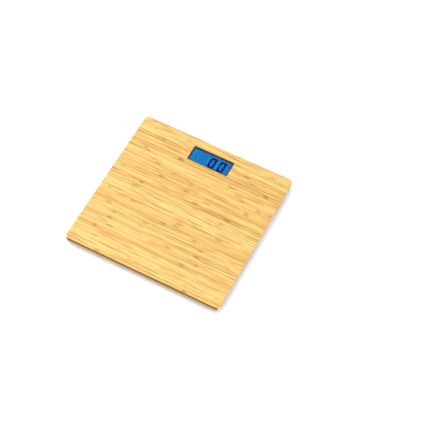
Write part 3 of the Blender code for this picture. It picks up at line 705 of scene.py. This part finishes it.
def lens():
    """Clear lens, and the black border printed on its back."""
    low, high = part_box("display_lens")
    clear = slab("lens", low, high, corner=0.8 * MM, top=0.3 * MM, bottom=0.12 * MM, rim_steps=4,
                 materials=[LENS])
    keep(clear, "platform", "lens_acrylic", "display_lens")

    inset, thickness = 0.15 * MM, 0.08 * MM
    ink_top = low.z - INK_GAP
    border = slab("lens_border", (low.x + inset, low.y + inset, ink_top - thickness),
                  (high.x - inset, high.y - inset, ink_top), corner=0.7 * MM, materials=[BORDER_INK])
    opening = slab("opening", (low.x + LENS_BORDER, low.y + LENS_BORDER, ink_top - PAST),
                   (high.x - LENS_BORDER, high.y - LENS_BORDER, ink_top + PAST),
                   corner=0.4 * MM, steps=4)
    carve(border, [opening])
    keep(border, "platform", "frame_plastic")


def reading():
    """Two lit zeros with a decimal point, the unlit segments around them, and the unit sign."""
    centre = middle_of("display_lens")
    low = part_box("lcd_glass")[1].z + INK_GAP
    high = low + 0.06 * MM
    row = centre.y - DIGIT_DROP
    unlit_x, first_x, last_x = (centre.x + DIGIT_RIGHT + DIGIT_PITCH * step for step in (-1, 0, 1))
    zeros = [o for x in (first_x, last_x) for o in seven_segments((x, row), "abcdef")]
    ghosts = seven_segments((unlit_x, row), "abcdefg")
    ghosts += seven_segments((unlit_x - DIGIT_PITCH, row), "bc")
    ghosts += [o for x in (first_x, last_x) for o in seven_segments((x, row), "g")]
    point_x = (first_x + last_x) / 2 - 0.6 * MM
    point_y = row - DIGIT_HEIGHT / 2 + POINT_HALF
    zeros.append([(point_x + i * POINT_HALF, point_y + j * POINT_HALF)
                  for i, j in ((-1, -1), (1, -1), (1, 1), (-1, 1))])
    keep(plates("digits", zeros, low, high, [SEGMENT_INK]), "platform", "frame_plastic")
    keep(plates("ghost_digits", ghosts, low, high, [GHOST_INK]), "platform", "backlight")
    unit_sign(centre.x + UNIT_SIGN_AT[0], centre.y + UNIT_SIGN_AT[1], low, high)


def unit_sign(x, y, low, high):
    """The kilogram mark beside the digits, as a generic unit sign."""
    text = bpy.data.curves.new("unit_sign", "FONT")
    text.body = "kg"
    text.size = UNIT_SIGN_SIZE
    text.align_x = "CENTER"
    text.align_y = "CENTER"
    text.extrude = (high - low) / 2
    sign = in_scene("unit_sign_text", text)
    sign.location = (x, y, (low + high) / 2)
    mesh = evaluated_mesh(sign)
    mesh.transform(sign.matrix_world)
    mesh.materials.clear()
    mesh.materials.append(SEGMENT_INK)
    bpy.data.objects.remove(sign, do_unlink=True)
    keep(in_scene("unit_sign", mesh), "platform", "frame_plastic")


# ---------------- feet

def foot_housing(foot):
    """Flanged cup around a load cell, with rails over the cell, a slot for the lead and screw holes."""
    node = "foot_housing_" + foot
    low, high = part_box(node)
    at = middle_of("foot_cap_" + foot).xy
    flange_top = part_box("base_panel")[0].z - FLANGE_GAP
    roof = high.z - 1.3 * MM
    body = slab("housing_" + foot, low, (high.x, high.y, flange_top), corner=9 * MM, steps=16,
                top=0.2 * MM, bottom=0.9 * MM, materials=[BLACK_ABS])
    carve(body, [rod("cup", CUP_R, low.z + 1 * MM, high.z, at, 96)], "UNION")
    carve(body, [rod("bore", BORE_R, low.z - PAST, roof, at, 96)])

    cell_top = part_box("load_cell_" + foot)[1].z + 0.3 * MM
    reach, aside, width = 11.5 * MM, 10.6 * MM, 4 * MM
    carve(body, [along_lead(foot, "rail", -reach, reach, width, cell_top, roof + 0.2 * MM, side * aside)
                 for side in (-1, 1)], "UNION")

    slot_end, slot_width, slot_bottom = CUP_R + PAST, 3.6 * MM, 8.8 * MM
    tools = [along_lead(foot, "slot", BORE_R - PAST, slot_end, slot_width, slot_bottom, roof - 0.2 * MM),
             along_lead(foot, "slot_top", 8.5 * MM, slot_end, slot_width, roof - 1.4 * MM, high.z + PAST)]
    for letter in "ab":
        screw_at = middle_of("foot_screw_%s_%s" % (foot, letter)).xy
        tools.append(rod("hole", 1.7 * MM, low.z - PAST, flange_top + PAST, screw_at, 32))
        tools.append(rod("seat", 2.9 * MM, low.z - PAST, low.z + 1.7 * MM, screw_at, 48))
    carve(body, tools)
    soften(body, 0.25 * MM, angle=60, segments=3)
    keep(body, "platform", "housing_plastic", node)


def foot_cap(foot):
    """Shallow cup that holds the pad, with a boss against the load cell's tongue."""
    at = middle_of("foot_cap_" + foot)
    profile = [(0, 5.7), (4.6, 5.7), (5.0, 5.3), (5.0, 4.6), (16.8, 4.6), (17.8, 4.2), (17.8, 2.0),
               (17.0, 1.2), (15.6, 1.2), (15.6, 2.2), (0, 2.2)]
    cap = lathe("cap_" + foot, filleted(in_mm(profile), 0.35 * MM), 96, [FOOT_ABS])
    cap.location = (at.x, at.y, 0)
    keep(cap, "foot_" + foot, "foot_plastic", "foot_cap_" + foot)


def foot_pad(foot):
    """Rubber disc with three moulded rings in its tread and a small centre dimple."""
    at = middle_of("foot_pad_" + foot)
    profile = [(0, 1.9), (15.3, 1.9), (15.3, 0.6), (14.7, 0.0)]
    for ring in (12.2, 8.8, 5.4):
        profile += [(ring + 0.7, 0.0), (ring + 0.45, 0.45), (ring - 0.45, 0.45), (ring - 0.7, 0.0)]
    profile += [(2.2, 0.0), (1.9, 0.4), (0, 0.4)]
    pad = lathe("pad_" + foot, filleted(in_mm(profile), 0.2 * MM, 3), 96, [RUBBER])
    pad.location = (at.x, at.y, 0)
    keep(pad, "foot_" + foot, "pad_rubber", "foot_pad_" + foot)


def strain_gauge(foot):
    """Domed blob of potting on the load cell's tongue."""
    node = "strain_gauge_" + foot
    low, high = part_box(node)
    at = middle_of(node)
    tall = (high.z - low.z) / MM
    profile = [(0, tall), (1.2, tall * 0.97), (2.2, tall * 0.78), (2.8, tall * 0.40), (3.0, 0.0), (0, 0.0)]
    blob = lathe("gauge_potting_" + foot, filleted(in_mm(profile), 0.4 * MM), 40, [EPOXY_WHITE])
    blob.location = (at.x, at.y, low.z)
    keep(blob, "platform", "white_epoxy", node)


def sensor_lead(foot):
    """Three insulated wires, laid up together, from the strain gauge to the circuit board."""
    node = "sensor_lead_" + foot
    spine = centre_line(node, foot)
    lay, wire_r, off_middle = 14 * MM, 0.42 * MM, 0.50 * MM
    work = bmesh.new()
    for index in range(3):
        points = []
        travelled = 0.0
        for i, point in enumerate(spine):
            if i:
                travelled += (point - spine[i - 1]).length
            turn = 2 * math.pi * (travelled / lay + index / 3)
            along = (spine[min(i + 1, len(spine) - 1)] - spine[max(i - 1, 0)]).normalized()
            side = along.cross(Vector((0, 0, 1))).normalized()
            lift = side.cross(along)
            points.append(point + (side * math.cos(turn) + lift * math.sin(turn)) * off_middle)
        tube(work, points, wire_r, 10, index)
    keep(to_object("wires_" + foot, work, SLEEVES), "platform", "lead_sleeve", node)


def centre_line(node, foot):
    """Points along a lead's middle: from over the foot, up to the channel, and straight on."""
    low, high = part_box(node)
    start, run, length = lead_run(foot)
    lead_r, spacing = 1.0 * MM, 1.2 * MM
    near_end, far_end = 5.6 * MM, length - 1.1 * MM
    climb_start, climb_run = 7.5 * MM, 7.5 * MM
    low_z, high_z = low.z + lead_r, high.z - lead_r
    points = []
    count = int((far_end - near_end) / spacing)
    for i in range(count + 1):
        d = near_end + (far_end - near_end) * i / count
        t = min(max((d - climb_start) / climb_run, 0.0), 1.0)
        points.append(start + run * d + Vector((0, 0, low_z + (high_z - low_z) * t * t * (3 - 2 * t))))
    return points


# ---------------- screws

def screw_mesh(name, length):
    """Pan-head screw with a cross recess and a real thread, its head's flat side at the origin."""
    head = [(0, 0), (2.6, 0), (2.6, -0.5), (2.35, -0.85), (1.9, -1.1), (1.2, -1.25), (0, -HEAD_HEIGHT / MM)]
    obj = lathe(name, filleted(in_mm(head), 0.2 * MM, 3), 48, [ZINC])
    carve(obj, [threaded_shank(length)], "UNION")
    arms = []
    for turn in (0, 90):
        arm = slab("arm", (-1.35 * MM, -0.36 * MM, -2.5 * MM), (1.35 * MM, 0.36 * MM, -0.55 * MM))
        arm.rotation_euler.z = math.radians(turn)
        arms.append(arm)
    carve(obj, arms)
    soften(obj, 0.06 * MM, angle=60)
    return obj


def threaded_shank(length):
    """Shank with a thread wound around it, from inside the head to a blunt point."""
    core, crest, pitch = 1.0 * MM, 1.3 * MM, 1.0 * MM
    around, step = 24, 0.125 * MM
    start, tip, tip_run = -0.2 * MM, length - 0.3 * MM, 1.8 * MM
    rows = int(length / step)
    work = bmesh.new()
    rings = []
    for j in range(rows + 1):
        z = start + (tip - start) * j / rows
        taper = min(1.0, 0.15 + (length - z) / tip_run)
        ring = []
        for i in range(around):
            phase = (z / pitch - i / around) % 1.0
            ridge = max(0.0, 1 - abs(phase - 0.5) / 0.32)
            radius = (core + (crest - core) * ridge) * taper
            angle = 2 * math.pi * i / around
            ring.append(work.verts.new((radius * math.cos(angle), radius * math.sin(angle), z)))
        rings.append(ring)
    for first, second in zip(rings, rings[1:]):
        for i in range(around):
            j = (i + 1) % around
            work.faces.new((first[i], first[j], second[j], second[i]))
    for cap in (rings[0], rings[-1]):
        work.faces.new(cap)
    return to_object("shank", work, [ZINC])


def screws():
    """Every screw stands where its CAD node does, each kind from one mesh, each at its own turn."""
    kinds = {"foot": (screw_mesh("foot_screw", 6.5 * MM), False),
             "housing": (screw_mesh("housing_screw", 6.4 * MM), False),
             "board": (screw_mesh("board_screw", 4.8 * MM), True)}
    for count, node in enumerate(n for n in sorted(frame["nodes"]) if "_screw_" in n):
        pattern, head_up = kinds[node.split("_")[0]]
        low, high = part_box(node)
        at = middle_of(node)
        obj = pattern.copy()
        obj.name = "fastener_" + node
        bpy.context.scene.collection.objects.link(obj)
        turn = Matrix.Rotation(math.radians(37 * count), 4, "Z")
        seat = high.z - HEAD_HEIGHT if head_up else low.z + HEAD_HEIGHT
        flip = Matrix.Rotation(math.pi, 4, "X") if head_up else Matrix.Identity(4)
        obj.matrix_world = Matrix.Translation((at.x, at.y, seat)) @ turn @ flip
        keep(obj, "platform", "screw_steel", node)
    for pattern, _ in kinds.values():
        bpy.data.objects.remove(pattern, do_unlink=True)


# ---------------- battery bay

def battery_cell(label, side):
    """AAA cell: crimped jacket, insulating shoulder, steel nub; side is the way the nub points."""
    node = "battery_cell_" + label
    low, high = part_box(node)
    at = middle_of(node)
    tip = high.x if side > 0 else low.x
    profile = [(0, 0), (1.7, 0), (1.9, -0.2), (1.9, -0.8), (3.4, -0.8), (3.4, -0.95), (4.6, -0.95),
               (5.05, -0.85), (5.25, -1.3), (5.25, -15.0), (5.25, -15.4), (5.25, -43.6), (5.0, -44.15),
               (4.5, -44.3), (4.3, -44.1), (0, -44.5)]
    nub_end, band_end, base_start = -1.0 * MM, -15.2 * MM, -44.0 * MM

    def band(z):
        if z > nub_end or z < base_start:
            return 2
        return 1 if z > band_end else 0

    cell = lathe("cell_" + label, in_mm(profile), 64, [JACKET, JACKET_BAND, CELL_STEEL], band)
    cell.matrix_world = (Matrix.Translation((tip, at.y, at.z))
                         @ Matrix.Rotation(side * math.pi / 2, 4, "Y"))
    keep(cell, "platform", "cell_jacket", node)


def battery_spring(label):
    """Conical spring with a closed coil at its wide end, against the contact plate."""
    node = "battery_spring_" + label
    low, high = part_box(node)
    at = middle_of(node)
    axis_z = middle_of("battery_cell_" + label).z
    wide_x, narrow_x = (low.x, high.x) if at.x < 0 else (high.x, low.x)
    way = 1 if narrow_x > wide_x else -1
    wire_r, wide_r, narrow_r = 0.3 * MM, 3.4 * MM, 2.0 * MM
    start, finish = wide_x + way * wire_r, narrow_x - way * wire_r
    turns, per_turn, closed = 3.25, 28, 0.22
    points = []
    for i in range(int(turns * per_turn) + 1):
        t = i / (turns * per_turn)
        rise = max(0.0, (t - closed) / (1 - closed))
        radius = wide_r + (narrow_r - wide_r) * rise
        angle = 2 * math.pi * turns * t
        points.append(Vector((start + (finish - start) * rise, at.y + radius * math.cos(angle),
                              axis_z + radius * math.sin(angle))))
    work = bmesh.new()
    tube(work, points, wire_r, 12)
    keep(to_object("spring_" + label, work, [SPRING_STEEL]), "platform", "contact_steel", node)


def battery_door():
    """Door with its knuckle, end pins, sprung tongue, finger grooves and an arrow."""
    low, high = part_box("battery_door")
    pivot = Vector(next(j for j in frame["joints"] if j["name"] == "battery_door_hinge")["pos_m"])
    half, pin_r, pin_reach = 26.0 * MM, 0.55 * MM, 0.8 * MM
    door = extruded("door", door_section(high.y - pivot.y), -half, half, [BLACK_ABS])
    door.data.transform(Matrix.Translation(pivot) @ Matrix.Rotation(math.pi / 2, 4, "Z")
                        @ Matrix.Rotation(math.pi / 2, 4, "X"))
    pins = rod("pins", pin_r, -half - pin_reach, half + pin_reach, (0, 0), 32)
    pins.matrix_world = Matrix.Translation(pivot) @ Matrix.Rotation(math.pi / 2, 4, "Y")
    carve(door, [pins], "UNION")
    carve(door, tongue_slots(low, high) + finger_marks(low, high.y))
    soften(door, 0.15 * MM, angle=55)
    keep(door, "battery_door", "housing_plastic", "battery_door")


def door_section(free_y):
    """Outline across the door, about its pivot: a round knuckle, the plate, and a lip at the free edge."""
    knuckle, plate_top, lip, lip_top = 1.1 * MM, 0.3 * MM, 1.2 * MM, 1.7 * MM
    first, last, steps = 270, math.degrees(math.asin(plate_top / knuckle)), 28
    turns = [math.radians(first - (first - last) * i / steps) for i in range(steps + 1)]
    return ([(knuckle * math.cos(a), knuckle * math.sin(a)) for a in turns]
            + [(free_y - lip, plate_top), (free_y - lip, lip_top), (free_y, lip_top), (free_y, -knuckle)])


def tongue_slots(low, high):
    """Blocks that free the sprung tongue from the door on both sides."""
    aside, half_width, length = 5.5 * MM, 0.5 * MM, 8.2 * MM
    return [slab("slot", (side * aside - half_width, high.y - length, low.z - PAST),
                 (side * aside + half_width, high.y + PAST, high.z + PAST)) for side in (-1, 1)]


def finger_marks(low, free_y):
    """Three grooves across the tongue, and a sunk arrow farther in, all cut from below."""
    tools = []
    for i in range(3):
        y = free_y - (2.3 + 1.5 * i) * MM
        tools.append(slab("groove", (-3.5 * MM, y - 0.3 * MM, low.z - PAST),
                          (3.5 * MM, y + 0.3 * MM, low.z + 0.35 * MM)))
    tip, length, half_width = free_y - 11.0 * MM, 3.4 * MM, 2.6 * MM
    tools.append(extruded("arrow", [(-half_width, tip - length), (half_width, tip - length), (0, tip)],
                          low.z - PAST, low.z + 0.25 * MM))
    return tools


# ---------------- electronics

def unit_button():
    """Dished button, and the switch's plunger that moves with it."""
    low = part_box("unit_button")[0]
    at = middle_of("unit_button")
    profile = [(0, 2.65), (5.0, 2.65), (5.0, 2.0), (4.0, 2.0), (4.0, 0.3), (3.7, 0), (3.1, 0), (2.6, 0.22),
               (1.4, 0.34), (0, 0.38)]
    button = lathe("button", filleted(in_mm(profile), 0.25 * MM), 64, [GREY_ABS])
    button.location = (at.x, at.y, low.z)
    keep(button, "unit_button", "button_plastic", "unit_button")

    stem_low, stem_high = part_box("switch_plunger")
    tall = (stem_high.z - stem_low.z) / MM
    stem = [(0, tall), (1.6, tall), (1.6, 0), (0, 0)]
    plunger = lathe("plunger", filleted(in_mm(stem), 0.2 * MM), 40, [EPOXY_BLACK])
    plunger.location = (at.x, at.y, stem_low.z)
    keep(plunger, "unit_button", "button_plastic", "switch_plunger")


def controller_chip():
    """Glossy potting over the bare chip, slightly slumped."""
    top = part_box("controller_chip")[1].z
    at = middle_of("controller_chip")
    profile = [(0, 0), (6.6, 0), (6.8, -0.25), (6.4, -0.6), (5.4, -0.9), (4.2, -1.07), (2.8, -1.18),
               (0, -1.25)]
    blob = lathe("chip_potting", in_mm(profile), 56, [EPOXY_BLACK])
    blob.location = (at.x, at.y, top)
    keep(blob, "platform", "black_epoxy", "controller_chip")


def surface_parts():
    """Small resistors and capacitors on the circuit board's underside, clear of chip and pegs."""
    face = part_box("main_board")[0].z
    work = bmesh.new()
    spots = [(x, y) for y in (103, 129) for x in (-26, -20, 12, 18, 24, 30)] + [(38, 96), (-38, 80)]
    for k, (x, y) in enumerate(spots):
        length, width, tall = (2.0, 1.25, 0.55) if k % 3 else (1.6, 0.8, 0.45)
        body = (0.62 * length, width, 1.05 * tall)
        ends = (1.06 * length, 1.06 * width, tall)
        for index, (size_x, size_y, size_z) in enumerate((body, ends)):
            if k % 2:
                size_x, size_y = size_y, size_x
            size = Vector((size_x, size_y, size_z)) * MM
            cube = bmesh.ops.create_cube(work, size=1)["verts"]
            bmesh.ops.scale(work, vec=size, verts=cube)
            bmesh.ops.translate(work, vec=(x * MM, y * MM, face - size.z / 2 - 0.02 * MM), verts=cube)
            for f in {f for v in cube for f in v.link_faces}:
                f.material_index = index
    parts = to_object("surface_parts", work, [EPOXY_BLACK, CELL_STEEL])
    soften(parts, 0.05 * MM, segments=1)
    keep(parts, "platform", "black_epoxy")


def inner_nodes():
    """CAD nodes whose shapes stay as they are."""
    for node, material in (("lcd_glass", LIT_GLASS), ("backlight_panel", LIGHT_GUIDE),
                           ("contact_strip", ELASTOMER), ("display_frame", BLACK_ABS),
                           ("electronics_housing", BLACK_ABS)):
        paint(node, material, 0.15 * MM)
    paint("main_board", SOLDER_MASK)
    paint("unit_switch", EPOXY_BLACK, 0.1 * MM)
    paint("rating_label", LABEL_FOIL, 0.05 * MM)
    for name in ("bridge", "positive", "negative"):
        paint("contact_" + name, SPRING_STEEL, 0.08 * MM)
    for foot in FEET:
        paint("load_cell_" + foot, STAMPED, 0.15 * MM)


# ---------------- stage

def stage():
    """Plain pale floor, an even sky, and two soft lights: a key from the left and a fill from the front."""
    half_size = 6.0
    work = bmesh.new()
    bmesh.ops.create_grid(work, x_segments=1, y_segments=1, size=half_size)
    floor = to_object("floor", work, [floor_material()])
    floor.location.z = CAD_BOX[0].z - 0.02 * MM

    world = bpy.data.worlds.new("studio")
    world.use_nodes = True
    sky = world.node_tree.nodes["Background"]
    sky.inputs["Color"].default_value = rgb((0.93, 0.96, 1.0))
    sky.inputs["Strength"].default_value = 1.22
    bpy.context.scene.world = world
    bpy.context.scene.view_settings.view_transform = "Standard"

    softbox("key", (-0.95, 0.12, 1.25), size=1.6, power=12.3, colour=(1.0, 0.98, 0.95))
    softbox("fill", (0.2, -1.3, 0.9), size=1.4, power=7.3, colour=(1.0, 0.98, 0.96))


def softbox(name, place, size, power, colour):
    """A square area light that points at the origin."""
    light = bpy.data.lights.new(name, "AREA")
    light.shape = "SQUARE"
    light.size = size
    light.energy = power
    light.color = colour
    obj = in_scene(name, light)
    obj.location = place
    obj.rotation_mode = "QUATERNION"
    obj.rotation_quaternion = (-Vector(place)).to_track_quat("-Z", "Y")


def camera():
    """A camera turned about the middle of the platform's top, rolled, and slid in its own plane."""
    a, e, r = (math.radians(v) for v in (CAMERA_AZIMUTH, CAMERA_ELEVATION, CAMERA_ROLL))
    back = Vector((math.cos(e) * math.cos(a), math.cos(e) * math.sin(a), math.sin(e)))
    level = Vector((0, 0, 1)).cross(back).normalized()
    upright = back.cross(level)
    right = level * math.cos(r) + upright * math.sin(r)
    up = upright * math.cos(r) - level * math.sin(r)
    target = Vector((0, 0, CAD_BOX[1].z))
    place = target + right * CAMERA_RIGHT + up * CAMERA_UP + back * CAMERA_DISTANCE
    data = bpy.data.cameras.new("camera")
    data.lens = CAMERA_LENS
    data.clip_start = 0.05
    obj = in_scene("camera", data)
    obj.matrix_world = Matrix.Translation(place) @ Matrix((right, up, back)).transposed().to_4x4()
    bpy.context.scene.camera = obj


top_panel()
base_panel()
lens()
reading()
for corner in FEET:
    foot_housing(corner)
    foot_cap(corner)
    foot_pad(corner)
    strain_gauge(corner)
    sensor_lead(corner)
screws()
battery_cell("a", 1)
battery_cell("b", -1)
battery_spring("a")
battery_spring("b")
battery_door()
unit_button()
controller_chip()
surface_parts()
inner_nodes()
stage()
camera()
